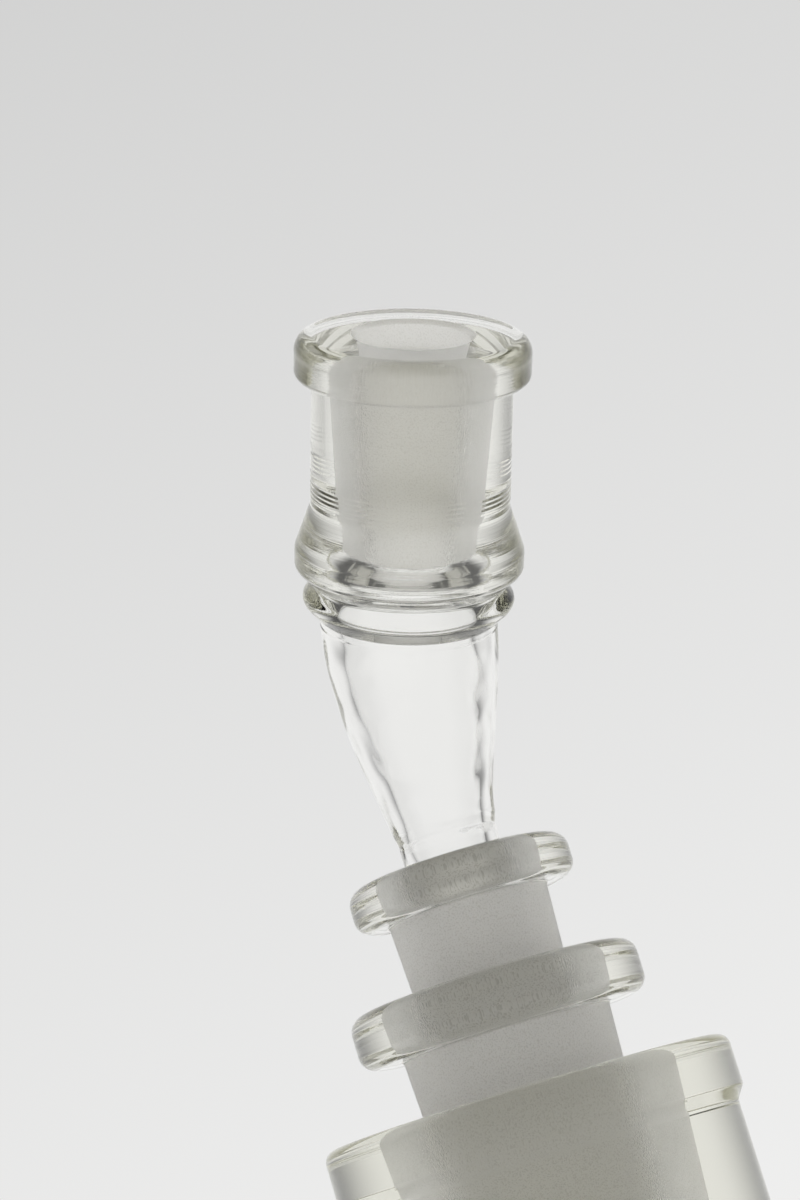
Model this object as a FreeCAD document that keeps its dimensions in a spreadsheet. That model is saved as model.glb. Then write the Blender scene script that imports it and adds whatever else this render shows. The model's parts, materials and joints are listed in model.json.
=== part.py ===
import FreeCAD, Part
import math
import os
import Sketcher

# A stack of nested ground-glass joints in clear borosilicate glass, in millimetres, +Z up along the
# axis of the stack, with the origin at the centre of the base socket's flat lower end.
#
#   base_socket      thick-walled socket that everything stands in, open right through
#   medium_bushing   reducer: its ground cone sits in the base, its socket takes the small one
#   small_bushing    reducer: its ground cone sits in the medium bushing, its socket takes the neck
#   neck_cone        ground cone of the bent adapter
#   neck_tube        hand-drawn tube that bends towards +X and widens upwards
#   knuckle_ring     ring of glass melted on at the tube's upper end
#   upper_socket     turned socket with a flat rim and a flared lower knuckle
#
# The last four are melted together and make one loose piece, the bent adapter. Every ground surface
# has the same standard taper, so each socket is its cone's surface moved out by one clearance.

SIZES = {
    # Ground surfaces: fall in diameter per length, and the gap between a cone and its socket.
    "taper": 0.1,
    "ground_gap": 0.04,
    "mouth_round": 0.9,
    "tip_round": 0.5,
    "step_height": 0.7,
    # Base socket.
    "base_length": 40.0,
    "base_radius": 17.6,
    "base_rim_proud": 0.8,
    "base_rim_height": 4.7,
    "base_rim_slope": 1.2,
    "base_rim_round": 1.1,
    "base_bore_radius": 7.5,
    "base_ground_beyond": 3.0,
    # Medium bushing.
    "medium_cone_radius": 9.4,
    "medium_cone_length": 25.5,
    "medium_stand_off": 5.5,
    "medium_collar_proud": 3.7,
    "medium_collar_height": 4.9,
    "medium_collar_round": 1.5,
    "medium_bore_radius": 5.5,
    "medium_ground_beyond": 3.7,
    # Small bushing.
    "small_cone_radius": 7.25,
    "small_cone_length": 23.0,
    "small_stand_off": 6.7,
    "small_collar_proud": 2.85,
    "small_collar_height": 4.0,
    "small_collar_round": 1.5,
    "small_bore_radius": 3.4,
    "small_ground_beyond": 1.0,
    # Bent adapter: cone and tube.
    "neck_cone_radius": 5.0,
    "neck_cone_length": 19.0,
    "neck_inset": 0.5,
    "neck_bore_radius": 3.2,
    "neck_shoulder": 0.6,
    "neck_top_radius": 7.9,
    "neck_top_bore_radius": 6.0,
    "neck_straight": 0.5,
    "elbow_rise": 14.9,
    "elbow_reach": 8.6,
    "bend_angle": 35.7,
    # Bent adapter: ring.
    "ring_height": 3.2,
    "ring_radius": 9.65,
    "ring_lip": 0.2,
    "ring_round": 0.9,
    # Bent adapter: upper socket.
    "waist_radius": 8.5,
    "waist_bore_radius": 4.2,
    "socket_body_radius": 8.75,
    "socket_rim_radius": 10.3,
    "socket_rim_height": 3.9,
    "socket_rim_round": 1.4,
    "socket_mouth_radius": 5.4,
    "socket_mouth_depth": 0.4,
    "knuckle_radius": 10.15,
    "knuckle_edge_height": 1.4,
    "knuckle_flat_height": 1.7,
    "knuckle_flare_height": 4.1,
    "knuckle_round": 1.2,
    "socket_ground_depth": 19.6,
    "socket_floor": 2.3,
    "bulb_radius": 5.3,
    "bulb_height": 0.9,
}

# Stations of the neck tube from foot to top, and the exponent that shifts its widening downwards.
NECK_STATIONS = 6
NECK_EASE = 0.85

doc = FreeCAD.newDocument("ground_joint_stack")
sheet = doc.addObject("Spreadsheet::Sheet", "sizes")
for row, (alias, number) in enumerate(SIZES.items(), start=1):
    sheet.set(f"A{row}", alias)
    sheet.set(f"B{row}", str(number))
    sheet.setAlias(f"B{row}", alias)
doc.recompute()


def value(expression):
    """The number that an expression gives with the sheet's present sizes."""
    result = sheet.evalExpression(expression)
    return float(getattr(result, "Value", result))


def bind(target, path, expression):
    """Tie one property of an object to the sheet."""
    target.setExpression(path, expression)


def new_piece(label, height="0", reach="0", tilt="0"):
    """A body that stands on its own lower end, tilted towards +X about Y and placed by the sheet."""
    body = doc.addObject("PartDesign::Body", label)
    body.Label = label
    body.Placement = FreeCAD.Placement(FreeCAD.Vector(value(reach), 0, value(height)),
                                       FreeCAD.Rotation(FreeCAD.Vector(0, 1, 0), value(tilt)))
    bind(body, "Placement.Base.x", reach)
    bind(body, "Placement.Base.z", height)
    bind(body, "Placement.Rotation.Angle", tilt)
    return body


def sketch_on(body, role, name):
    """An empty sketch on one of the body's own origin planes."""
    plane = next(item for item in body.Origin.OriginFeatures if item.Role == role)
    sketch = body.newObject("Sketcher::SketchObject", name)
    sketch.AttachmentSupport = [(plane, "")]
    sketch.MapMode = "FlatFace"
    return sketch


def turned(body, outline, rounds):
    """Turn a closed outline of (radius, height) corners about Z, then round the named corners.

    Both lists hold expressions; a round is (radius, height, size of the round).
    """
    sketch = sketch_on(body, "XZ_Plane", "outline")
    corners = [FreeCAD.Vector(value(radius), value(height), 0) for radius, height in outline]
    count = len(corners)
    for i in range(count):
        sketch.addGeometry(Part.LineSegment(corners[i], corners[(i + 1) % count]), False)
    for i in range(count):
        sketch.addConstraint(Sketcher.Constraint("Coincident", i, 2, (i + 1) % count, 1))
    for i, (radius, height) in enumerate(outline):
        for kind, expression, size in (("X", radius, corners[i].x), ("Y", height, corners[i].y)):
            index = sketch.addConstraint(Sketcher.Constraint("Distance" + kind, -1, 1, i, 1, size))
            name = f"corner_{i}_{kind.lower()}"
            sketch.renameConstraint(index, name)
            bind(sketch, "Constraints." + name, expression)
    turn = body.newObject("PartDesign::Revolution", "turned")
    turn.Profile = sketch
    turn.ReferenceAxis = (sketch, ["V_Axis"])
    turn.Angle = 360.0
    doc.recompute()
    for size in dict.fromkeys(item[2] for item in rounds):
        wanted = [(value(radius), value(height)) for radius, height, own in rounds if own == size]
        round_corners(body, wanted, size)
    return body


def round_corners(body, wanted, size):
    """Round the circular edges of the body's tip that lie at the wanted (radius, height) places."""
    base = body.Tip
    names = []
    for number, edge in enumerate(base.Shape.Edges, start=1):
        if not isinstance(edge.Curve, Part.Circle):
            continue
        for radius, height in wanted:
            same_radius = abs(edge.Curve.Radius - radius) < 1e-4
            if same_radius and abs(edge.Curve.Center.z - height) < 1e-4:
                names.append(f"Edge{number}")
    if len(names) != len(wanted):
        raise RuntimeError(f"{body.Label}: {len(wanted)} corners to round, {len(names)} found")
    fillet = body.newObject("PartDesign::Fillet", "rounded")
    fillet.Base = (base, names)
    fillet.Radius = value(size)
    bind(fillet, "Radius", size)
    doc.recompute()


def at_depth(mouth_radius, depth):
    """Radius of a ground surface at a depth below the place where its radius is known."""
    return f"({mouth_radius} - sizes.taper / 2 * {depth})"


# Heights of the seats up the stack, and the radius of each socket's mouth: its cone's surface where
# it passes the mouth, moved out by the clearance.
BASE_TOP = "sizes.base_length"
MEDIUM_SEAT = f"({BASE_TOP} + sizes.medium_stand_off)"
MEDIUM_FOOT = f"({MEDIUM_SEAT} - sizes.medium_cone_length)"
MEDIUM_TOP = f"({MEDIUM_SEAT} + sizes.medium_collar_height)"
SMALL_SEAT = f"({MEDIUM_TOP} + sizes.small_stand_off)"
SMALL_FOOT = f"({SMALL_SEAT} - sizes.small_cone_length)"
SMALL_TOP = f"({SMALL_SEAT} + sizes.small_collar_height)"
NECK_FOOT = f"({SMALL_TOP} - sizes.neck_inset)"
ELBOW = f"({SMALL_TOP} + sizes.elbow_rise)"

BASE_DEPTH = ("(sizes.medium_cone_length - sizes.medium_stand_off"
              " + sizes.base_ground_beyond)")
MEDIUM_DEPTH = ("(sizes.small_cone_length - sizes.small_stand_off"
                " + sizes.medium_ground_beyond)")
SMALL_DEPTH = "(sizes.neck_cone_length + sizes.neck_inset + sizes.small_ground_beyond)"

BASE_MOUTH = f"({at_depth('sizes.medium_cone_radius', 'sizes.medium_stand_off')} + sizes.ground_gap)"
MEDIUM_MOUTH = f"({at_depth('sizes.small_cone_radius', 'sizes.small_stand_off')} + sizes.ground_gap)"
SMALL_MOUTH = f"({at_depth('sizes.neck_cone_radius', '(-sizes.neck_inset)')} + sizes.ground_gap)"


def base_socket():
    """Thick-walled socket with a flat fire-polished foot and a proud flat rim."""
    ground_foot = f"(sizes.base_length - {BASE_DEPTH})"
    ground_radius = at_depth(BASE_MOUTH, BASE_DEPTH)
    rim_radius = "(sizes.base_radius + sizes.base_rim_proud)"
    rim_foot = "(sizes.base_length - sizes.base_rim_height)"
    outline = [
        ("sizes.base_bore_radius", "0"),
        ("sizes.base_radius", "0"),
        ("sizes.base_radius", f"({rim_foot} - sizes.base_rim_slope)"),
        (rim_radius, rim_foot),
        (rim_radius, BASE_TOP),
        (BASE_MOUTH, BASE_TOP),
        (ground_radius, ground_foot),
        ("sizes.base_bore_radius", f"({ground_foot} - sizes.step_height)"),
    ]
    rounds = [
        (rim_radius, BASE_TOP, "sizes.base_rim_round"),
        (rim_radius, rim_foot, "sizes.tip_round"),
        ("sizes.base_radius", "0", "sizes.tip_round"),
        (BASE_MOUTH, BASE_TOP, "sizes.mouth_round"),
    ]
    return turned(new_piece("base_socket"), outline, rounds)


def bushing(size, foot, mouth, depth):
    """Reducing bushing: ground cone below, rounded collar above, ground socket down its middle."""
    cone_length = f"sizes.{size}_cone_length"
    cone_radius = f"sizes.{size}_cone_radius"
    collar_radius = f"({cone_radius} + sizes.{size}_collar_proud)"
    bore_radius = f"sizes.{size}_bore_radius"
    collar_round = f"sizes.{size}_collar_round"
    tip_radius = at_depth(cone_radius, cone_length)
    top = f"({cone_length} + sizes.{size}_collar_height)"
    ground_foot = f"({top} - {depth})"
    outline = [
        (bore_radius, "0"),
        (tip_radius, "0"),
        (cone_radius, cone_length),
        (collar_radius, cone_length),
        (collar_radius, top),
        (mouth, top),
        (at_depth(mouth, depth), ground_foot),
        (bore_radius, f"({ground_foot} - sizes.step_height)"),
    ]
    rounds = [
        (collar_radius, cone_length, collar_round),
        (collar_radius, top, collar_round),
        (tip_radius, "0", "sizes.tip_round"),
        (mouth, top, "sizes.mouth_round"),
    ]
    return turned(new_piece(f"{size}_bushing", foot), outline, rounds)


def neck_cone():
    """Ground cone of the adapter, with a rounded shoulder where the tube is melted on."""
    tip_radius = at_depth("sizes.neck_cone_radius", "sizes.neck_cone_length")
    outline = [
        ("sizes.neck_bore_radius", "0"),
        (tip_radius, "0"),
        ("sizes.neck_cone_radius", "sizes.neck_cone_length"),
        ("sizes.neck_bore_radius", "sizes.neck_cone_length"),
    ]
    rounds = [
        (tip_radius, "0", "sizes.tip_round"),
        ("sizes.neck_cone_radius", "sizes.neck_cone_length", "sizes.tip_round"),
    ]
    body = new_piece("neck_cone", f"({NECK_FOOT} - sizes.neck_cone_length)")
    return turned(body, outline, rounds)


def neck_tube():
    """Tube from the cone's shoulder to the ring: a short straight foot, then one arc towards +X.

    The arc starts upright and ends at the point that lies elbow_reach up the tilted axis; its
    sections turn evenly from level to square with that axis, so both ends are flat weld faces.
    """
    body = new_piece("neck_tube", NECK_FOOT)
    arc_foot = "(sizes.neck_inset + sizes.neck_straight)"
    end_x = "(sizes.elbow_reach * sin(sizes.bend_angle))"
    end_z = (f"({ELBOW} - {NECK_FOOT} + sizes.elbow_reach * cos(sizes.bend_angle)"
             f" - {arc_foot})")
    arc_angle = f"(2 * atan({end_x} / {end_z}))"
    arc_radius = f"({end_z} / sin({arc_angle}))"

    def sections(name, foot_radius, top_radius):
        """Circles square with the tube's axis: one at the foot, the others spread over the arc."""
        rings = []
        for i in range(NECK_STATIONS + 1):
            share = max(0, i - 1) / (NECK_STATIONS - 1)
            widening = math.sin(math.pi / 2 * share ** NECK_EASE) ** 2
            radius = f"({foot_radius} + ({top_radius} - {foot_radius}) * {widening:.4f})"
            turn = f"({arc_angle} * {share:.4f})"
            reach = f"({arc_radius} * (1 - cos({turn})))"
            rise = f"({arc_foot} + {arc_radius} * sin({turn}))" if i else "0"
            tilt = f"(sizes.bend_angle * {share:.4f})"
            ring = sketch_on(body, "XY_Plane", f"{name}_{i}")
            spin = FreeCAD.Rotation(FreeCAD.Vector(0, 1, 0), max(value(tilt), 1e-6))
            ring.AttachmentOffset = FreeCAD.Placement(
                FreeCAD.Vector(value(reach), 0, value(rise)), spin)
            bind(ring, "AttachmentOffset.Base.x", reach)
            bind(ring, "AttachmentOffset.Base.z", rise)
            if share:
                bind(ring, "AttachmentOffset.Rotation.Angle", tilt)
            circle = Part.Circle(FreeCAD.Vector(0, 0, 0), FreeCAD.Vector(0, 0, 1), value(radius))
            ring.addGeometry(circle, False)
            ring.addConstraint(Sketcher.Constraint("Coincident", 0, 3, -1, 1))
            index = ring.addConstraint(Sketcher.Constraint("Radius", 0, value(radius)))
            ring.renameConstraint(index, "ring_radius")
            bind(ring, "Constraints.ring_radius", radius)
            rings.append(ring)
        return rings

    foot_radius = "(sizes.neck_cone_radius - sizes.neck_shoulder)"
    outside = sections("outside", foot_radius, "sizes.neck_top_radius")
    inside = sections("inside", "sizes.neck_bore_radius", "sizes.neck_top_bore_radius")
    for kind, name, rings in (("AdditiveLoft", "drawn_tube", outside),
                              ("SubtractiveLoft", "bore", inside)):
        loft = body.newObject("PartDesign::" + kind, name)
        loft.Profile = rings[0]
        loft.Sections = rings[1:]
        doc.recompute()
    return body


def on_tilted_axis(label, distance):
    """A piece whose lower end lies at a distance from the elbow, up the adapter's tilted axis."""
    height = f"({ELBOW} + {distance} * cos(sizes.bend_angle))"
    reach = f"({distance} * sin(sizes.bend_angle))"
    return new_piece(label, height, reach, "sizes.bend_angle")


def knuckle_ring():
    """Ring melted on between the tube and the upper socket, open through its middle."""
    edge = "(sizes.ring_height / 2)"
    outline = [
        ("sizes.neck_top_bore_radius", "0"),
        ("(sizes.neck_top_radius + sizes.ring_lip)", "0"),
        ("sizes.ring_radius", edge),
        ("sizes.waist_radius", "sizes.ring_height"),
        ("sizes.waist_bore_radius", "sizes.ring_height"),
    ]
    rounds = [("sizes.ring_radius", edge, "sizes.ring_round")]
    return turned(on_tilted_axis("knuckle_ring", "sizes.elbow_reach"), outline, rounds)


def upper_socket():
    """Turned socket: flared knuckle, heavy flat rim, ground bore with a bulb below it."""
    knuckle_top = "(sizes.knuckle_edge_height + sizes.knuckle_flat_height)"
    flare_top = f"({knuckle_top} + sizes.knuckle_flare_height)"
    ground_foot = "sizes.socket_floor"
    ground_top = f"({ground_foot} + sizes.socket_ground_depth)"
    length = f"({ground_top} + sizes.socket_mouth_depth)"
    rim_foot = f"({length} - sizes.socket_rim_height)"
    ground_radius = at_depth("sizes.neck_cone_radius", "sizes.socket_ground_depth")
    outline = [
        ("sizes.waist_bore_radius", "0"),
        ("sizes.waist_radius", "0"),
        ("sizes.knuckle_radius", "sizes.knuckle_edge_height"),
        ("sizes.knuckle_radius", knuckle_top),
        ("sizes.socket_body_radius", flare_top),
        ("sizes.socket_body_radius", rim_foot),
        ("sizes.socket_rim_radius", rim_foot),
        ("sizes.socket_rim_radius", length),
        ("sizes.socket_mouth_radius", length),
        ("sizes.neck_cone_radius", ground_top),
        (ground_radius, ground_foot),
        ("sizes.bulb_radius", "sizes.bulb_height"),
    ]
    rounds = [
        ("sizes.bulb_radius", "sizes.bulb_height", "sizes.tip_round"),
        ("sizes.socket_rim_radius", length, "sizes.socket_rim_round"),
        ("sizes.socket_rim_radius", rim_foot, "sizes.socket_rim_round"),
        ("sizes.knuckle_radius", knuckle_top, "sizes.knuckle_round"),
        ("sizes.knuckle_radius", "sizes.knuckle_edge_height", "sizes.tip_round"),
    ]
    body = on_tilted_axis("upper_socket", "(sizes.elbow_reach + sizes.ring_height)")
    return turned(body, outline, rounds)


pieces = [
    base_socket(),
    bushing("medium", MEDIUM_FOOT, MEDIUM_MOUTH, MEDIUM_DEPTH),
    bushing("small", SMALL_FOOT, SMALL_MOUTH, SMALL_DEPTH),
    neck_cone(),
    neck_tube(),
    knuckle_ring(),
    upper_socket(),
]
doc.recompute()

for item in doc.Objects:
    if "Invalid" in item.State or "Error" in item.State:
        raise RuntimeError(f"{item.Label} failed: {item.State}")
for piece in pieces:
    shape = piece.Shape
    if shape.isNull() or not shape.isValid() or len(shape.Solids) != 1:
        raise RuntimeError(f"{piece.Label} is not one valid solid")

os.makedirs("parts", exist_ok=True)
for piece in pieces:
    piece.Shape.exportStep(f"parts/{piece.Label}.step")
    box = piece.Shape.BoundBox
    print(f"{piece.Label:16s} volume {piece.Shape.Volume:9.1f}  z {box.ZMin:7.2f} to {box.ZMax:7.2f}"
          f"  x {box.XMin:7.2f} to {box.XMax:7.2f}")
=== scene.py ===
# %% [markdown]
# # A stack of ground-glass joints
#
# Four loose pieces of clear laboratory glass stand in each other: a thick base socket, two reducing
# bushings with round collars, and a bent adapter with a small socket at its upper end. This script
# gives each one its finished surface. Everything is in metres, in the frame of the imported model.

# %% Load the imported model
import json
import math

import bpy
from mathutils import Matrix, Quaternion, Vector


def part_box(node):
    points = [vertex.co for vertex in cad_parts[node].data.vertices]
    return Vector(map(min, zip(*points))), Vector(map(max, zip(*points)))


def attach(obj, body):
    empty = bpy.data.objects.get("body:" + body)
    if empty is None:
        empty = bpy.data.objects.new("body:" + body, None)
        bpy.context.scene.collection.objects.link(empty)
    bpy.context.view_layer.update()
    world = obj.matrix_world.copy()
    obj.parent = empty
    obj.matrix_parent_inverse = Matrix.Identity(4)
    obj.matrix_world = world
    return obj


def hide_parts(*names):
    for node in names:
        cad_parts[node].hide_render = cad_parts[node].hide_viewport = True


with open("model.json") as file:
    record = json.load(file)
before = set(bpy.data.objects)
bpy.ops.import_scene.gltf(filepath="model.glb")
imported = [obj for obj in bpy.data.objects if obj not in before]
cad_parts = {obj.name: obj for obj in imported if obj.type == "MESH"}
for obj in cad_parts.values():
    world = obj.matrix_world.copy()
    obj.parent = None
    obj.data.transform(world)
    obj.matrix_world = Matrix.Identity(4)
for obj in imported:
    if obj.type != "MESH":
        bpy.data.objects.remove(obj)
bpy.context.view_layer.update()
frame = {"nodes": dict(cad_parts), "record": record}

MM = 0.001
UP = Vector((0, 0, 1))
scene = bpy.context.scene
print("nodes:", sorted(frame["nodes"]))

# %% [markdown]
# ## Looking at it
#
# The camera looks slightly up at the adapter from below, and is rolled so that the stack leans to
# the left and the upper socket stands nearly straight. A long lens keeps the circles of the collars
# close to true ellipses.

# %% Camera
AIM = Vector((12.3, -4.6, 82.6)) * MM
DISTANCE = 257.7 * MM
FORWARD = Vector((-0.8492, 0.4890, 0.1994)).normalized()
ROLL = math.radians(-17.0)
LENS_MM = 90.0
SENSOR_MM = 36.0
NEAREST, FARTHEST = 0.01, 20.0          # metres

camera_data = bpy.data.cameras.new("camera")
camera_data.lens = LENS_MM
camera_data.sensor_width = SENSOR_MM
camera_data.clip_start = NEAREST
camera_data.clip_end = FARTHEST
camera = bpy.data.objects.new("camera", camera_data)
camera.location = AIM - FORWARD * DISTANCE
camera.rotation_mode = "QUATERNION"
camera.rotation_quaternion = FORWARD.to_track_quat("-Z", "Y") @ Quaternion((0, 0, 1), ROLL)
scene.collection.objects.link(camera)
scene.camera = camera
print("camera at", [round(c, 4) for c in camera.location])

# %% [markdown]
# ## Shader maths as plain Python
#
# A node tree is easier to read as a formula. `Number` wraps one output socket, and its operators
# add Math nodes. `Tree` makes every other node: its type, then its settings, then its inputs.


# %% Node helpers
class Number:
    """A number in a node tree; arithmetic on it adds Math nodes."""

    def __init__(self, tree, socket):
        self.tree, self.socket = tree, socket

    def math(self, operation, *others):
        values = {i: v for i, v in enumerate((self, *others))}
        node = self.tree.add(self.tree.math_node, {"operation": operation}, values)
        return Number(self.tree, node.outputs[0])

    def __add__(self, other):
        return self.math("ADD", other)

    __radd__ = __add__

    def __sub__(self, other):
        return self.math("SUBTRACT", other)

    def __rsub__(self, other):
        return (self * -1.0) + other

    def __mul__(self, other):
        return self.math("MULTIPLY", other)

    __rmul__ = __mul__

    def __truediv__(self, other):
        return self.math("DIVIDE", other)

    def step(self, low, high):
        """0 below low, 1 above high, and a soft ramp between them."""
        settings = {"interpolation_type": "SMOOTHSTEP"}
        node = self.tree.add("ShaderNodeMapRange", settings, {0: self, 1: low, 2: high})
        return Number(self.tree, node.outputs[0])


class Tree:
    """Adds nodes to a tree, whatever kind of tree it is."""

    math_node = "ShaderNodeMath"

    def __init__(self, nodes_of):
        self.tree = nodes_of
        self.nodes = nodes_of.nodes
        self.links = nodes_of.links

    def add(self, kind, settings=None, inputs=None):
        """A node of a kind, with its settings made first, then its inputs filled or linked."""
        node = self.nodes.new(kind)
        for name, value in (settings or {}).items():
            setattr(node, name, value)
        for name, value in (inputs or {}).items():
            socket = node.inputs[name]
            if isinstance(value, Number):
                self.links.new(value.socket, socket)
            elif isinstance(value, bpy.types.NodeSocket):
                self.links.new(value, socket)
            else:
                socket.default_value = value
        return node

    def number(self, socket):
        return Number(self, socket)

    def stored(self, name):
        """The number that the mesh stores under a name, for a material."""
        node = self.add("ShaderNodeAttribute", {"attribute_name": name})
        return Number(self, node.outputs["Fac"])


# %% [markdown]
# ## Glass
#
# All four pieces are the same borosilicate glass with two finishes. Where it has only seen the
# flame or the lathe it is polished: clear, a little straw-coloured in the depth, with faint rings
# left by the tools. Where two pieces meet it is ground with fine grit: matt, white and slightly
# grainy. The two finishes are two materials, because a ground face scatters light and a polished
# one doesn't. Both read the attribute `marks`, which the lathe stores on the mesh: it
# says how deep the tool rings are on a polished face, and how many dark grit specks a ground one
# has. These specks are partly grain and partly painted shade: their amount is set per piece, so
# that the ground glass of the lower stack is darker and that of the upper socket lighter, as if
# lit from above.

# %% Polished glass
GLASS_IOR = 1.474
GLASS_TINT = (0.992, 0.992, 0.990, 1.0)
DEPTH_COLOUR = (0.80, 0.79, 0.60, 1.0)
DEPTH_DENSITY = 14.0
RING_SCALE = 3500.0           # tool rings, per metre of the section
RING_STRENGTH = 0.35
RING_RELIEF = 0.00006
SMEAR_SCALE = 260.0
SMEAR_ROUGHNESS = 0.012


def glass_body(tree):
    """The faint straw colour that light picks up on its way through the glass."""
    return tree.add("ShaderNodeVolumeAbsorption", None,
                    {"Color": DEPTH_COLOUR, "Density": DEPTH_DENSITY})


def new_material(name):
    material = bpy.data.materials.new(name)
    material.use_nodes = True
    material.node_tree.nodes.clear()
    return material, Tree(material.node_tree)


def polished_glass(name):
    """Clear glass, with tool rings where the attribute `marks` says so."""
    material, tree = new_material(name)
    place = tree.add("ShaderNodeTexCoord").outputs["Object"]
    along = tree.add("ShaderNodeCombineXYZ", None, {"X": tree.stored("station")})
    rings = tree.add("ShaderNodeTexNoise", {"noise_dimensions": "3D"},
                     {"Vector": along.outputs[0], "Scale": RING_SCALE, "Detail": 3.0,
                      "Roughness": 0.6})
    smears = tree.add("ShaderNodeTexNoise", {"noise_dimensions": "3D"},
                      {"Vector": place, "Scale": SMEAR_SCALE, "Detail": 2.0})
    ring_height = tree.number(rings.outputs["Fac"]) * tree.stored("marks")
    bump = tree.add("ShaderNodeBump", None,
                    {"Strength": RING_STRENGTH, "Distance": RING_RELIEF, "Height": ring_height})
    roughness = tree.number(smears.outputs["Fac"]) * SMEAR_ROUGHNESS
    shader = tree.add("ShaderNodeBsdfPrincipled", None,
                      {"Base Color": GLASS_TINT, "Roughness": roughness, "IOR": GLASS_IOR,
                       "Transmission Weight": 1.0, "Normal": bump.outputs[0]})
    tree.add("ShaderNodeOutputMaterial", None,
             {"Surface": shader.outputs[0], "Volume": glass_body(tree).outputs[0]})
    return material


# %% Ground glass
GROUND_TINT = (0.99, 0.98, 0.96, 1.0)
# Colour of the dark grit specks: grain, and painted shade where many specks darken a ground zone.
GRIT_AND_SHADE_TINT = (0.74, 0.73, 0.70, 1.0)
GRIT_SCALE = 8500.0
GRIT_DARK, GRIT_CLEAR = 0.36, 0.50      # noise below the first is a speck, above the second none
GRIT_STRENGTH = 0.3
GRIT_RELIEF = 0.00008
CLOUD_SCALE = 220.0
MATT_ROUGHNESS = 0.42
CLOUD_ROUGHNESS = 0.16
MATT_TRANSMISSION = 0.62


def ground_glass(name):
    """Matt ground glass, with as many dark grit specks as `marks` says: grain and painted shade."""
    material, tree = new_material(name)
    place = tree.add("ShaderNodeTexCoord").outputs["Object"]
    grit = tree.add("ShaderNodeTexNoise", {"noise_dimensions": "3D"},
                    {"Vector": place, "Scale": GRIT_SCALE, "Detail": 1.0, "Roughness": 0.5})
    cloud = tree.add("ShaderNodeTexNoise", {"noise_dimensions": "3D"},
                     {"Vector": place, "Scale": CLOUD_SCALE, "Detail": 3.0, "Roughness": 0.6})
    bump = tree.add("ShaderNodeBump", None,
                    {"Strength": GRIT_STRENGTH, "Distance": GRIT_RELIEF,
                     "Height": grit.outputs["Fac"]})
    clean = tree.number(grit.outputs["Fac"]).step(GRIT_DARK, GRIT_CLEAR)
    # Dark specks, as many as the stored amount says: grain, and painted shade on the lower pieces.
    speck_and_shade = (1.0 - clean) * tree.stored("marks")
    colour = tree.add("ShaderNodeMix", {"data_type": "RGBA"},
                      {0: speck_and_shade, 6: GROUND_TINT, 7: GRIT_AND_SHADE_TINT}).outputs[2]
    roughness = tree.number(cloud.outputs["Fac"]) * CLOUD_ROUGHNESS + MATT_ROUGHNESS
    shader = tree.add("ShaderNodeBsdfPrincipled", None,
                      {"Base Color": colour, "Roughness": roughness, "IOR": GLASS_IOR,
                       "Transmission Weight": MATT_TRANSMISSION, "Normal": bump.outputs[0]})
    tree.add("ShaderNodeOutputMaterial", None,
             {"Surface": shader.outputs[0], "Volume": glass_body(tree).outputs[0]})
    return material


POLISHED = polished_glass("polished_borosilicate")
GROUND = ground_glass("ground_borosilicate")

# %% [markdown]
# ## Outlines
#
# Every piece is turned: half of its section, spun round an axis. A section is written as a list of
# corners, and each corner is softened by an arc, as the flame leaves it. The points are dense round
# the arcs and have a close neighbour on each straight, so that the smooth shading of a small round
# doesn't bleed into the flats beside it; clear glass shows such a fault at once.

# %% Corners to points
ARC_STEP = math.radians(9.0)
GUARD = 0.12                  # distance of the close neighbour on a straight, mm
STRAIGHT_STEP = 0.9           # spacing of the other points on a straight, mm
SIDE_SHARE = 0.48             # an arc takes no more than this share of either side
NEARLY_STRAIGHT = 1e-3        # radians


class Corner:
    """One corner of a section: radius and height in mm, its round, and what comes after it.

    `ground` is 1 where the glass is ground, `marks` is the depth of its tool marks or,
    on ground glass, the amount of its dark grit specks, partly grain and partly painted shade, and
    `wander` is how far a hand-drawn wall may stray, in mm.
    """

    def __init__(self, radius, height, soft=0.0, ground=0.0, marks=0.0, wander=0.0):
        self.at = Vector((radius, height))
        self.soft, self.ground, self.marks, self.wander = soft, ground, marks, wander


def rounded(corner, before, after):
    """The arc that replaces a corner, from the side before it to the side after it."""
    back, on = (before - corner.at), (after - corner.at)
    turn = math.pi - back.angle(on)
    if corner.soft <= 0 or turn < NEARLY_STRAIGHT:
        return [corner.at.copy()]
    reach = min(corner.soft * math.tan(turn / 2), SIDE_SHARE * back.length,
                SIDE_SHARE * on.length)
    radius = reach / math.tan(turn / 2)
    start = corner.at + back.normalized() * reach
    middle = corner.at + (back.normalized() + on.normalized()).normalized() * (
        radius / math.cos(turn / 2))
    spoke = start - middle
    side = 1.0 if back.x * on.y - back.y * on.x > 0 else -1.0
    count = max(3, math.ceil(turn / ARC_STEP))
    points = []
    for i in range(count + 1):
        a = -side * turn * i / count
        points.append(middle + Vector((spoke.x * math.cos(a) - spoke.y * math.sin(a),
                                       spoke.x * math.sin(a) + spoke.y * math.cos(a))))
    return points


def section(corners):
    """Closed section as rows of (radius, height, ground, marks, wander), first row repeated."""
    count = len(corners)
    arcs = [rounded(c, corners[i - 1].at, corners[(i + 1) % count].at)
            for i, c in enumerate(corners)]
    rows = []
    for i, corner in enumerate(corners):
        tail = (corner.ground, corner.marks, corner.wander)
        entry = (corners[i - 1].ground, corners[i - 1].marks, corners[i - 1].wander)
        arc = arcs[i]
        for k, point in enumerate(arc):
            rows.append((point.x, point.y, *(entry if k < len(arc) / 2 else tail)))
        start, end = arc[-1], arcs[(i + 1) % count][0]
        run = (end - start).length
        inner = max(1, round((run - 2 * GUARD) / STRAIGHT_STEP))
        places = [GUARD + (run - 2 * GUARD) * k / inner for k in range(inner + 1)]
        for place in places if run > 3 * GUARD else []:
            point = start.lerp(end, place / run)
            rows.append((point.x, point.y, *tail))
    rows.append(rows[0])
    return rows


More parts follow.
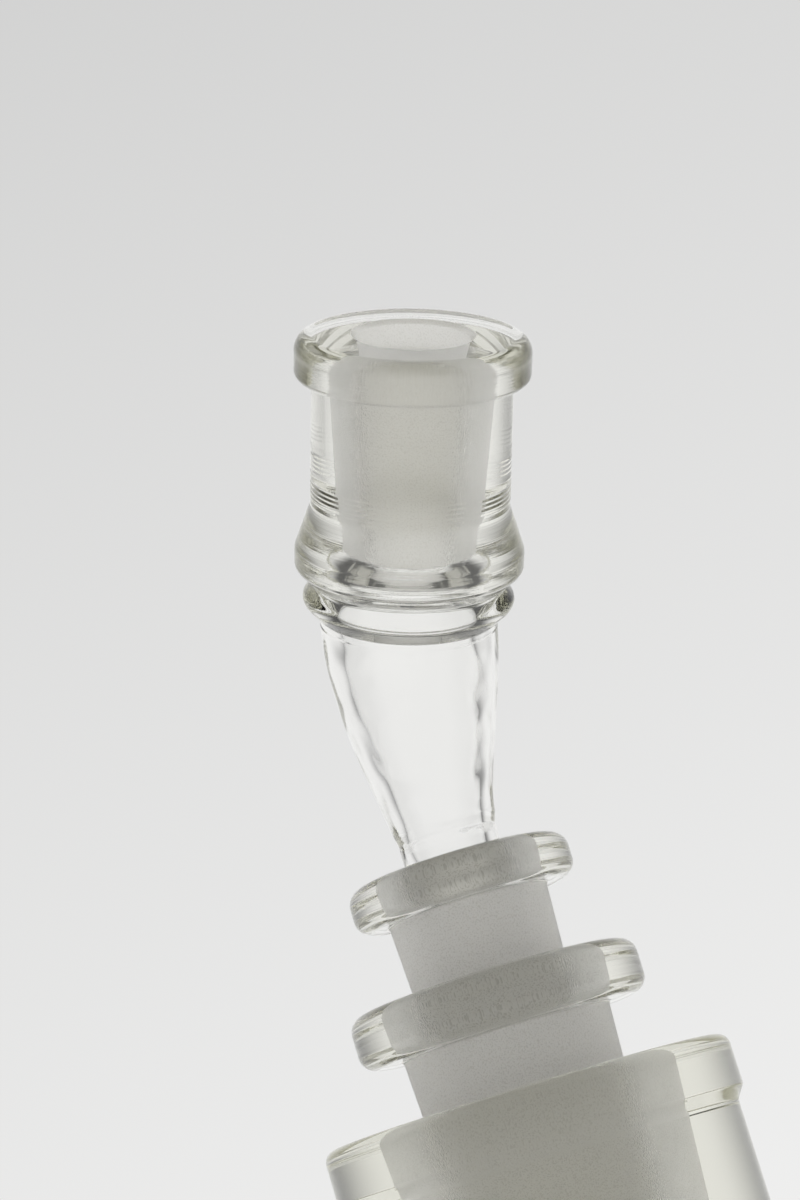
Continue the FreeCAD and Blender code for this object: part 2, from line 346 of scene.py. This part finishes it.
# %% [markdown]
# ## The lathe
#
# One Geometry Nodes tree does the turning. Its input is a chain of vertices, the section, and each
# vertex carries the centre and the direction of the axis that it turns about. For a straight piece
# the axis is the same everywhere; for the bent adapter it follows the bend. The tree lays a grid of
# sides by section points, turns each point about its own axis, lets the drawn parts wander a little
# as hand-worked glass does, welds the seam, and sets both finishes.

# %% Lathe tree
SECTION_FIELDS = (("centre", "FLOAT_VECTOR"), ("axis", "FLOAT_VECTOR"), ("station", "FLOAT"),
                  ("ground", "FLOAT"), ("marks", "FLOAT"), ("wander", "FLOAT"))
WANDER_SCALE = 190.0
GROUND_FROM = 0.75            # a face is ground where its stored value is above this
WELD = 1e-6


def lathe_tree():
    group = bpy.data.node_groups.new("lathe", "GeometryNodeTree")
    face = group.interface
    face.new_socket("Section", in_out="INPUT", socket_type="NodeSocketGeometry")
    face.new_socket("Sides", in_out="INPUT", socket_type="NodeSocketInt")
    face.new_socket("Unevenness", in_out="INPUT", socket_type="NodeSocketFloat")
    face.new_socket("Polished", in_out="INPUT", socket_type="NodeSocketMaterial")
    face.new_socket("Ground", in_out="INPUT", socket_type="NodeSocketMaterial")
    face.new_socket("Piece", in_out="OUTPUT", socket_type="NodeSocketGeometry")
    tree = Tree(group)
    given = tree.add("NodeGroupInput").outputs
    size = tree.add("GeometryNodeAttributeDomainSize", {"component": "MESH"},
                    {"Geometry": given["Section"]})
    rows = tree.number(size.outputs["Point Count"])
    sides = tree.number(given["Sides"])
    grid = tree.add("GeometryNodeMeshGrid", None, {"Vertices X": sides + 1, "Vertices Y": rows})
    index = tree.number(tree.add("GeometryNodeInputIndex").outputs[0])
    side = (index / rows).math("FLOOR")
    row = index - side * rows

    def sampled(name, kind):
        """A value that the section stores, read at this vertex's row."""
        if name == "position":
            source = tree.add("GeometryNodeInputPosition").outputs[0]
        else:
            node = tree.add("GeometryNodeInputNamedAttribute", {"data_type": kind}, {"Name": name})
            source = node.outputs["Attribute"]
        node = tree.add("GeometryNodeSampleIndex", {"data_type": kind, "domain": "POINT"},
                        {"Geometry": given["Section"], "Value": source, "Index": row})
        return node.outputs["Value"]

    centre = sampled("centre", "FLOAT_VECTOR")
    turned = tree.add("ShaderNodeVectorRotate", {"rotation_type": "AXIS_ANGLE"},
                      {"Vector": sampled("position", "FLOAT_VECTOR"), "Center": centre,
                       "Axis": sampled("axis", "FLOAT_VECTOR"),
                       "Angle": side / sides * math.tau}).outputs[0]
    noise = tree.add("ShaderNodeTexNoise", {"noise_dimensions": "3D"},
                     {"Vector": turned, "Scale": WANDER_SCALE, "Detail": 1.0})
    amount = (tree.number(noise.outputs[0]) - 0.5) * 2.0 * tree.number(given["Unevenness"])
    amount = amount * tree.number(sampled("wander", "FLOAT"))
    spoke = tree.add("ShaderNodeVectorMath", {"operation": "SUBTRACT"}, {0: turned, 1: centre})
    outward = tree.add("ShaderNodeVectorMath", {"operation": "NORMALIZE"}, {0: spoke.outputs[0]})
    push = tree.add("ShaderNodeVectorMath", {"operation": "SCALE"},
                    {0: outward.outputs[0], "Scale": amount})
    place = tree.add("ShaderNodeVectorMath", {"operation": "ADD"},
                     {0: turned, 1: push.outputs[0]})
    shape = tree.add("GeometryNodeSetPosition", None,
                     {"Geometry": grid.outputs["Mesh"], "Position": place.outputs[0]}).outputs[0]
    for name, kind in SECTION_FIELDS[2:5]:
        store = tree.add("GeometryNodeStoreNamedAttribute",
                         {"data_type": kind, "domain": "POINT"},
                         {"Geometry": shape, "Name": name, "Value": sampled(name, kind)})
        shape = store.outputs[0]
    welded = tree.add("GeometryNodeMergeByDistance", None, {"Geometry": shape, "Distance": WELD})
    smooth = tree.add("GeometryNodeSetShadeSmooth", {"domain": "FACE"},
                      {"Geometry": welded.outputs[0], "Shade Smooth": True})
    real = tree.add("GeometryNodeRealizeInstances", None, {"Geometry": smooth.outputs[0]})
    clear = tree.add("GeometryNodeSetMaterial", None,
                     {"Geometry": real.outputs[0], "Material": given["Polished"]})
    tag = tree.add("GeometryNodeInputNamedAttribute", {"data_type": "FLOAT"}, {"Name": "ground"})
    matt = tree.number(tag.outputs["Attribute"]).math("GREATER_THAN", GROUND_FROM)
    both = tree.add("GeometryNodeSetMaterial", None,
                    {"Geometry": clear.outputs[0], "Selection": matt,
                     "Material": given["Ground"]})
    tree.add("NodeGroupOutput", None, {"Piece": both.outputs[0]})
    return group


LATHE = lathe_tree()

# %% [markdown]
# A section becomes a piece in one call: the chain of vertices gets its stored values, the tree is
# run as a modifier, and the result is copied into a plain mesh. The signed volume says whether the
# faces point outwards; if it is negative they are all turned round.


# %% Running the lathe
SIDES = 160
UNEVENNESS = 1.0


def straight_axis(height):
    """Axis of a piece that stands straight: the centre at a height in mm, and the direction."""
    return Vector((0, 0, height)), UP


def signed_volume(mesh):
    mesh.calc_loop_triangles()
    total = 0.0
    for triangle in mesh.loop_triangles:
        a, b, c = (mesh.vertices[v].co for v in triangle.vertices)
        total += a.dot(b.cross(c)) / 6
    return total


def turned_piece(name, rows, axis_at=straight_axis):
    """A closed glass mesh turned from the rows of a section; heights run along the axis in mm."""
    chain = bpy.data.meshes.new(name + "_section")
    values = {field: [] for field, _ in SECTION_FIELDS}
    places, station, last = [], 0.0, None
    for radius, height, ground, marks, wander in rows:
        centre, axis = axis_at(height)
        side = Vector((axis.z, 0, -axis.x)).normalized()
        places.append((centre + side * radius) * MM)
        station += (places[-1] - last).length if last else 0.0
        last = places[-1]
        for field, value in (("centre", centre * MM), ("axis", axis), ("station", station),
                             ("ground", ground), ("marks", marks), ("wander", wander * MM)):
            values[field].append(value)
    chain.from_pydata(places, [(i, i + 1) for i in range(len(places) - 1)], [])
    for field, kind in SECTION_FIELDS:
        layer = chain.attributes.new(field, kind, "POINT")
        for i, value in enumerate(values[field]):
            if kind == "FLOAT":
                layer.data[i].value = value
            else:
                layer.data[i].vector = value
    source = bpy.data.objects.new(name + "_source", chain)
    scene.collection.objects.link(source)
    modifier = source.modifiers.new("lathe", "NODES")
    modifier.node_group = LATHE
    settings = {"Sides": SIDES, "Unevenness": UNEVENNESS, "Polished": POLISHED, "Ground": GROUND}
    for item in LATHE.interface.items_tree:
        if item.in_out == "INPUT" and item.name in settings:
            modifier[item.identifier] = settings[item.name]
    source.update_tag()
    graph = bpy.context.evaluated_depsgraph_get()
    mesh = bpy.data.meshes.new_from_object(source.evaluated_get(graph), depsgraph=graph)
    bpy.data.objects.remove(source)
    if mesh.materials[0] is None:
        mesh.materials.pop(index=0)
    if signed_volume(mesh) < 0:
        mesh.flip_normals()
    mesh.name = name
    piece = bpy.data.objects.new(name, mesh)
    scene.collection.objects.link(piece)
    print(f"{name}: {len(mesh.polygons)} faces, {signed_volume(mesh) * 1e9:.0f} mm3,"
          f" materials {[m.name for m in mesh.materials]}")
    return piece


# %% [markdown]
# ## Common measures
#
# Ground joints share one taper: the diameter falls by a tenth of the length. Heights come from the
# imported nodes' boxes, and a socket's mouth is its cone's surface plus the running gap.

# %% Measures
TAPER = 0.05          # fall in radius per length
GROUND_GAP = 0.04
MOUTH_SOFT = 0.9
TIP_SOFT = 0.5
BORE_SOFT = 0.4
GROUND_FOOT_SOFT = 0.2
STEP_HEIGHT = 0.7


def levels(node):
    """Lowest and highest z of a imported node, in mm."""
    low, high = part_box(node)
    return low[2] / MM, high[2] / MM


# %% [markdown]
# ## Base socket
#
# The thick-walled socket at the foot carries everything. Its wall is nearly as thick as its bore,
# so it works as a strong lens and the ground bore looks half as wide again as it is. The rim stands
# a little proud of the body, and the foot is flat.

# %% Base socket
BASE_RADIUS = 17.6
BASE_RIM_PROUD = 0.8
BASE_RIM_HEIGHT = 4.7
BASE_RIM_SLOPE = 1.2
BASE_RIM_SOFT = 1.1
BASE_SLOPE_SOFT = 0.8
BASE_RIM_MARKS = 0.3
# Amount of dark grit specks in the base's bore: grain, and painted shade that darkens it.
BASE_GRIT_AND_SHADE = 0.7
BASE_BORE_RADIUS = 7.5
BASE_GROUND_BEYOND = 3.0
MEDIUM_CONE_RADIUS = 9.4
MEDIUM_COLLAR_HEIGHT = 4.9

_, base_top = levels("base_socket")
medium_foot, medium_top = levels("medium_bushing")
medium_seat = medium_top - MEDIUM_COLLAR_HEIGHT


def base_socket():
    mouth = MEDIUM_CONE_RADIUS - TAPER * (medium_seat - base_top) + GROUND_GAP
    ground_foot = medium_foot - BASE_GROUND_BEYOND
    ground_radius = mouth - TAPER * (base_top - ground_foot)
    rim_radius = BASE_RADIUS + BASE_RIM_PROUD
    rim_foot = base_top - BASE_RIM_HEIGHT
    corners = [
        Corner(BASE_BORE_RADIUS, 0.0, BORE_SOFT),
        Corner(BASE_RADIUS, 0.0, TIP_SOFT),
        Corner(BASE_RADIUS, rim_foot - BASE_RIM_SLOPE, BASE_SLOPE_SOFT, marks=BASE_RIM_MARKS),
        Corner(rim_radius, rim_foot, TIP_SOFT, marks=BASE_RIM_MARKS),
        Corner(rim_radius, base_top, BASE_RIM_SOFT),
        Corner(mouth, base_top, MOUTH_SOFT, ground=1.0, marks=BASE_GRIT_AND_SHADE),
        Corner(ground_radius, ground_foot, GROUND_FOOT_SOFT),
        Corner(BASE_BORE_RADIUS, ground_foot - STEP_HEIGHT, BORE_SOFT),
    ]
    return turned_piece("base_socket_glass", section(corners))


base = base_socket()
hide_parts("base_socket")
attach(base, "base")

# %% [markdown]
# ## Reducing bushings
#
# A bushing is a cone below and a collar above. The collar's edges are well rounded by the flame and
# stay clear, while the cone outside and the socket inside are ground.

# %% Bushings
COLLAR_SOFT = 1.5
SEAT_SOFT = 0.3
# Amounts of dark grit specks on the bushings' cones and in their sockets: grain, and painted shade.
CONE_GRIT_AND_SHADE = 0.8
COLLAR_GRIT_AND_SHADE = 1.0
SMALL_CONE_RADIUS = 7.25
SMALL_COLLAR_HEIGHT = 4.0
MEDIUM_COLLAR_PROUD = 3.7
SMALL_COLLAR_PROUD = 2.85
MEDIUM_BORE_RADIUS = 5.5
SMALL_BORE_RADIUS = 3.4
NECK_CONE_RADIUS = 5.0
MEDIUM_GROUND_BEYOND = 3.7
SMALL_GROUND_BEYOND = 1.0

small_foot, small_top = levels("small_bushing")
small_seat = small_top - SMALL_COLLAR_HEIGHT
neck_foot, neck_top = levels("neck_cone")


def bushing(name, foot, seat, top, cone_radius, proud, mouth, ground_foot, bore_radius):
    """Reducing bushing from its foot to its collar's top, with a ground cone and socket."""
    tip_radius = cone_radius - TAPER * (seat - foot)
    ground_radius = mouth - TAPER * (top - ground_foot)
    corners = [
        Corner(bore_radius, foot, BORE_SOFT),
        Corner(tip_radius, foot, TIP_SOFT, ground=1.0, marks=CONE_GRIT_AND_SHADE),
        Corner(cone_radius, seat, SEAT_SOFT),
        Corner(cone_radius + proud, seat, COLLAR_SOFT),
        Corner(cone_radius + proud, top, COLLAR_SOFT),
        Corner(mouth, top, MOUTH_SOFT, ground=1.0, marks=COLLAR_GRIT_AND_SHADE),
        Corner(ground_radius, ground_foot, GROUND_FOOT_SOFT),
        Corner(bore_radius, ground_foot - STEP_HEIGHT, BORE_SOFT),
    ]
    return turned_piece(name, section(corners))


medium = bushing("medium_bushing_glass", medium_foot, medium_seat, medium_top, MEDIUM_CONE_RADIUS,
                 MEDIUM_COLLAR_PROUD,
                 SMALL_CONE_RADIUS - TAPER * (small_seat - medium_top) + GROUND_GAP,
                 small_foot - MEDIUM_GROUND_BEYOND, MEDIUM_BORE_RADIUS)
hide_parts("medium_bushing")
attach(medium, "medium")

small = bushing("small_bushing_glass", small_foot, small_seat, small_top, SMALL_CONE_RADIUS,
                SMALL_COLLAR_PROUD,
                NECK_CONE_RADIUS + TAPER * (small_top - neck_top) + GROUND_GAP,
                neck_foot - SMALL_GROUND_BEYOND, SMALL_BORE_RADIUS)
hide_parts("small_bushing")
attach(small, "small")

# %% [markdown]
# ## Bent adapter
#
# Four worked pieces are melted into one: the ground cone, the tube drawn by hand, a ring, and the
# turned socket. Melted glass has no inner faces, so the adapter is one closed mesh that stands for
# all four nodes. Its axis runs straight up out of the cone, bends in one arc, and goes on straight
# up the tilted socket. Heights in its section are lengths along that axis.

# %% Axis of the adapter
ELBOW_REACH = 8.6
NECK_STRAIGHT = 0.5
RING_HEIGHT = 3.2

mouth_mount = next(m for m in frame["record"]["mounts"] if m["name"] == "top_socket")
mouth_centre = Vector(mouth_mount["pos_m"]) / MM
tilted = Vector(mouth_mount["axis"]).normalized()
bend = tilted.angle(UP)
elbow = mouth_centre - tilted * (mouth_centre.x / tilted.x)
tube_end = elbow + tilted * ELBOW_REACH
arc_foot = small_top + NECK_STRAIGHT
arc_angle = 2 * math.atan2(tube_end.x, tube_end.z - arc_foot)
arc_radius = (tube_end.z - arc_foot) / math.sin(arc_angle)
arc_length = arc_radius * arc_angle
tube_end_station = arc_foot + arc_length
print(f"bend {math.degrees(bend):.1f} deg, arc {arc_length:.1f} mm long, radius {arc_radius:.1f}")


def adapter_axis(station):
    """Centre and direction of the adapter's axis at a length along it, in mm."""
    if station <= arc_foot:
        return Vector((0, 0, station)), UP
    if station >= tube_end_station:
        return tube_end + tilted * (station - tube_end_station), tilted
    share = (station - arc_foot) / arc_length
    turn, tilt = arc_angle * share, bend * share
    centre = Vector((arc_radius * (1 - math.cos(turn)), 0, arc_foot + arc_radius * math.sin(turn)))
    return centre, Vector((math.sin(tilt), 0, math.cos(tilt)))


# %% Section of the adapter
NECK_BORE_RADIUS = 3.2
NECK_SHOULDER = 0.6
NECK_TOP_RADIUS = 7.9
NECK_TOP_BORE_RADIUS = 6.0
NECK_EASE = 0.85
# Amount of dark grit specks on the adapter's cone: grain, and painted shade.
NECK_GRIT_AND_SHADE = 1.0
TUBE_STEPS = 44
TUBE_WANDER = 0.10
TUBE_BORE_WANDER = 0.35
TUBE_BORE_SOFT = 1.8
CREASE_STATION = 2.6          # above the small bushing
CREASE_WIDTH = 0.45
CREASE_DEPTH = 0.16
CREASE_WANDER = 0.25
SEAM_DROP = 0.7               # below the ring
SEAM_WIDTH = 0.18
SEAM_DEPTH = 0.05
SEAM_SOFT = 0.05
SEAM_SIDE_SOFT = 0.2

RING_RADIUS = 9.65
RING_LIP = 0.2
RING_LIP_DROP = 0.1
RING_LIP_SOFTS = (0.15, 0.3)
RING_SOFT = 0.9
RING_MARKS = 0.15
WAIST_RADIUS = 8.5
WAIST_SOFT = 0.35
WAIST_MARKS = 0.3
WAIST_BORE_RADIUS = 4.2
WAIST_BORE_SOFT = 1.5

KNUCKLE_RADIUS = 10.15
KNUCKLE_EDGE = 1.4
KNUCKLE_FLAT = 1.7
KNUCKLE_FLARE = 4.1
KNUCKLE_SOFTS = (0.9, 1.6, 1.2)         # its lower edge, its upper edge, the top of the flare
KNUCKLE_MARKS, FLARE_MARKS = 0.8, 1.0
RIDGE_START = 0.5             # above the flare
RIDGE_COUNT = 5
RIDGE_PITCH = 0.42
RIDGE_PROUD = 0.05
RIDGE_FOOT_SOFT, RIDGE_TOP_SOFT = 0.05, 0.1

SOCKET_BODY_RADIUS = 8.75
SOCKET_BODY_MARKS = 0.4
SOCKET_RIM_RADIUS = 10.3
SOCKET_RIM_HEIGHT = 3.9
SOCKET_RIM_FOOT_SOFT = 0.4
SOCKET_RIM_SOFT = 1.4
SOCKET_RIM_MARKS = 2.0
SOCKET_MOUTH_RADIUS = 5.4
SOCKET_MOUTH_DEPTH = 0.4
SOCKET_MOUTH_SOFT = 0.15
# Fewer dark grit specks than on the lower pieces: grain, and painted light, as if lit from above.
SOCKET_GRIT_AND_SHADE = 0.45
SOCKET_GROUND_DEPTH = 19.6
SOCKET_FLOOR = 2.3
LEDGE = 0.3
LEDGE_SOFT = 0.08
BULB_RADIUS = 5.3
BULB_HEIGHT = 0.9
BULB_SOFT = 0.9
BULB_WANDER = 0.12


def tube_radius(share, foot, top):
    """Radius of the drawn tube at a share of its arc: it widens early and levels off."""
    return foot + (top - foot) * math.sin(math.pi / 2 * share ** NECK_EASE) ** 2


def drawn_wall(foot, top, wander):
    """Corners up the drawn tube, one at each step of the arc."""
    corners = []
    for i in range(TUBE_STEPS):
        share = i / TUBE_STEPS
        station = arc_foot + arc_length * share
        corners.append(Corner(tube_radius(share, foot, top), station, wander=wander))
    return corners


def ridges(radius, height):
    """Fine turned ridges round a straight wall, from a height upwards."""
    corners = []
    for i in range(RIDGE_COUNT):
        foot = height + i * RIDGE_PITCH
        corners.append(Corner(radius, foot, RIDGE_FOOT_SOFT))
        corners.append(Corner(radius + RIDGE_PROUD, foot + RIDGE_PITCH / 2, RIDGE_TOP_SOFT))
    return corners


def bent_adapter():
    tip_radius = NECK_CONE_RADIUS - TAPER * (neck_top - neck_foot)
    foot_radius = NECK_CONE_RADIUS - NECK_SHOULDER
    seam = tube_end_station - SEAM_DROP
    ring_top = tube_end_station + RING_HEIGHT
    knuckle_foot = ring_top + KNUCKLE_EDGE
    knuckle_top = knuckle_foot + KNUCKLE_FLAT
    floor = ring_top + SOCKET_FLOOR
    ground_top = floor + SOCKET_GROUND_DEPTH
    rim_top = ground_top + SOCKET_MOUTH_DEPTH
    rim_foot = rim_top - SOCKET_RIM_HEIGHT
    floor_radius = NECK_CONE_RADIUS - TAPER * SOCKET_GROUND_DEPTH
    crease = small_top + CREASE_STATION
    outside = drawn_wall(foot_radius, NECK_TOP_RADIUS, TUBE_WANDER)
    outside = [c for c in outside if c.at.y < seam - 2 * SEAM_WIDTH]
    for corner in outside:
        nearness = max(0.0, 1 - abs(corner.at.y - crease) / (2 * CREASE_WIDTH))
        corner.at.x -= CREASE_DEPTH * nearness
        corner.wander += CREASE_WANDER * nearness
    inside = drawn_wall(NECK_BORE_RADIUS, NECK_TOP_BORE_RADIUS, TUBE_BORE_WANDER)
    cone = [
        Corner(NECK_BORE_RADIUS, neck_foot, BORE_SOFT),
        Corner(tip_radius, neck_foot, TIP_SOFT, ground=1.0, marks=NECK_GRIT_AND_SHADE),
        Corner(NECK_CONE_RADIUS, neck_top, TIP_SOFT),
        Corner(foot_radius, neck_top, GROUND_FOOT_SOFT),
    ]
    ring = [
        Corner(NECK_TOP_RADIUS, seam - SEAM_WIDTH, SEAM_SIDE_SOFT),
        Corner(NECK_TOP_RADIUS - SEAM_DEPTH, seam, SEAM_SOFT),
        Corner(NECK_TOP_RADIUS, seam + SEAM_WIDTH, SEAM_SIDE_SOFT),
        Corner(NECK_TOP_RADIUS, tube_end_station - RING_LIP_DROP, RING_LIP_SOFTS[0]),
        Corner(NECK_TOP_RADIUS + RING_LIP, tube_end_station, RING_LIP_SOFTS[1], marks=RING_MARKS),
        Corner(RING_RADIUS, tube_end_station + RING_HEIGHT / 2, RING_SOFT, marks=RING_MARKS),
        Corner(WAIST_RADIUS, ring_top, WAIST_SOFT, marks=WAIST_MARKS),
    ]
    socket = [
        Corner(KNUCKLE_RADIUS, knuckle_foot, KNUCKLE_SOFTS[0], marks=KNUCKLE_MARKS),
        Corner(KNUCKLE_RADIUS, knuckle_top, KNUCKLE_SOFTS[1], marks=FLARE_MARKS),
        Corner(SOCKET_BODY_RADIUS, knuckle_top + KNUCKLE_FLARE, KNUCKLE_SOFTS[2]),
        *ridges(SOCKET_BODY_RADIUS, knuckle_top + KNUCKLE_FLARE + RIDGE_START),
        Corner(SOCKET_BODY_RADIUS, rim_foot, SOCKET_RIM_FOOT_SOFT, marks=SOCKET_BODY_MARKS),
        Corner(SOCKET_RIM_RADIUS, rim_foot, SOCKET_RIM_SOFT, marks=SOCKET_RIM_MARKS),
        Corner(SOCKET_RIM_RADIUS, rim_top, SOCKET_RIM_SOFT),
        Corner(SOCKET_MOUTH_RADIUS, rim_top, SOCKET_MOUTH_SOFT, ground=1.0, marks=SOCKET_GRIT_AND_SHADE),
        Corner(NECK_CONE_RADIUS, ground_top, SOCKET_MOUTH_SOFT, ground=1.0, marks=SOCKET_GRIT_AND_SHADE),
    ]
    passage = [
        Corner(floor_radius, floor, LEDGE_SOFT),
        Corner(floor_radius - LEDGE, floor - LEDGE, LEDGE_SOFT, wander=BULB_WANDER),
        Corner(BULB_RADIUS, ring_top + BULB_HEIGHT, BULB_SOFT, wander=BULB_WANDER),
        Corner(WAIST_BORE_RADIUS, ring_top, WAIST_BORE_SOFT, wander=BULB_WANDER),
        Corner(NECK_TOP_BORE_RADIUS, tube_end_station, TUBE_BORE_SOFT, wander=TUBE_BORE_WANDER),
        *reversed(inside),
    ]
    corners = cone + outside + ring + socket + passage
    return turned_piece("bent_adapter_glass", section(corners), adapter_axis)


adapter = bent_adapter()
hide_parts("neck_cone", "neck_tube", "knuckle_ring", "upper_socket")
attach(adapter, "adapter")

# %% [markdown]
# ## Studio
#
# Clear glass shows only what surrounds it, so a glass photographer lights the surroundings: a
# bright soft field behind the piece, a dimmer one behind the camera, and dark flags between the
# two, which draw the edges of the glass. Matt ground glass gathers light from everywhere, so it
# gets an even fill instead. The floor is a pale disc that fades out into the backdrop, so no
# horizon cuts across the glass. The backdrop itself is a little darker towards its top.

# %% Floor
FLOOR_RADIUS = 1.2            # metres
FLOOR_SOLID = 0.12
FLOOR_GONE = 0.9
FLOOR_SIDES = 96
FLOOR_TINT = (0.92, 0.92, 0.91, 1.0)
FLOOR_ROUGHNESS = 0.9


def studio_floor():
    turns = [math.tau * i / FLOOR_SIDES for i in range(FLOOR_SIDES)]
    ring = [(FLOOR_RADIUS * math.cos(turn), FLOOR_RADIUS * math.sin(turn), 0.0) for turn in turns]
    mesh = bpy.data.meshes.new("floor")
    mesh.from_pydata(ring, [], [tuple(range(FLOOR_SIDES))])
    floor = bpy.data.objects.new("floor", mesh)
    material, tree = new_material("pale_floor")
    place = tree.add("ShaderNodeTexCoord").outputs["Object"]
    reach = tree.number(tree.add("ShaderNodeVectorMath", {"operation": "LENGTH"},
                                 {0: place}).outputs["Value"])
    shader = tree.add("ShaderNodeBsdfPrincipled", None,
                      {"Base Color": FLOOR_TINT, "Roughness": FLOOR_ROUGHNESS,
                       "Alpha": 1.0 - reach.step(FLOOR_SOLID, FLOOR_GONE)})
    tree.add("ShaderNodeOutputMaterial", None, {"Surface": shader.outputs[0]})
    mesh.materials.append(material)
    scene.collection.objects.link(floor)


studio_floor()

# %% World
BACKDROP_TINT = (1.0, 1.0, 0.995, 1.0)
BACKDROP_MIDDLE = 0.755
BACKDROP_FALL = 0.42          # towards the top, per unit of direction
BACKDROP_SIDE = 0.17          # from left to right
FIELD_DROP = 0.25             # how far the bright field hangs below the line of sight
BRIGHT = 0.88                 # behind the piece
FLAGGED = 0.10                # round its sides, above and below
REAR = 0.45                   # behind the camera
FILL = 0.95                   # on matt surfaces, from everywhere
FIELD_EDGE = (0.33, 0.87)     # where the bright field begins and is full, as cosines
REAR_EDGE = (0.15, 0.60)


def studio_world():
    """Bright fields before and behind, dark flags at the sides, an even fill, a pale backdrop."""
    world = bpy.data.worlds.new("studio")
    world.use_nodes = True
    world.node_tree.nodes.clear()
    tree = Tree(world.node_tree)
    direction = tree.add("ShaderNodeTexCoord").outputs["Generated"]

    def along(vector):
        node = tree.add("ShaderNodeVectorMath", {"operation": "DOT_PRODUCT"},
                        {0: direction, 1: vector})
        return tree.number(node.outputs["Value"])

    high = camera.rotation_quaternion @ Vector((0, 1, 0))
    side = camera.rotation_quaternion @ Vector((1, 0, 0))
    facing = along((FORWARD - high * FIELD_DROP).normalized())
    clear = facing.step(*FIELD_EDGE) * (BRIGHT - FLAGGED)
    clear = clear + (facing * -1.0).step(*REAR_EDGE) * (REAR - FLAGGED) + FLAGGED
    path = tree.add("ShaderNodeLightPath").outputs
    scattered = tree.number(path["Diffuse Depth"]).math("MINIMUM", 1.0)
    light = scattered * FILL + (1.0 - scattered) * clear
    pale = along(side) * BACKDROP_SIDE - along(high) * BACKDROP_FALL + BACKDROP_MIDDLE
    soft = tree.add("ShaderNodeBackground", None, {"Color": BACKDROP_TINT, "Strength": light})
    seen = tree.add("ShaderNodeBackground", None, {"Color": BACKDROP_TINT, "Strength": pale})
    mixed = tree.add("ShaderNodeMixShader", None,
                     {0: path["Is Camera Ray"], 1: soft.outputs[0], 2: seen.outputs[0]})
    tree.add("ShaderNodeOutputWorld", None, {"Surface": mixed.outputs[0]})
    scene.world = world


studio_world()

# %% [markdown]
# A ray crosses up to a dozen glass surfaces in the stack, so the bounces are raised, or the middle
# of it would turn black.

# %% Light paths
GLASS_BOUNCES = 32
GLOSSY_BOUNCES = 16
DIFFUSE_BOUNCES = 4

scene.view_settings.view_transform = "Standard"
scene.cycles.max_bounces = GLASS_BOUNCES
scene.cycles.transmission_bounces = GLASS_BOUNCES
scene.cycles.glossy_bounces = GLOSSY_BOUNCES
scene.cycles.diffuse_bounces = DIFFUSE_BOUNCES
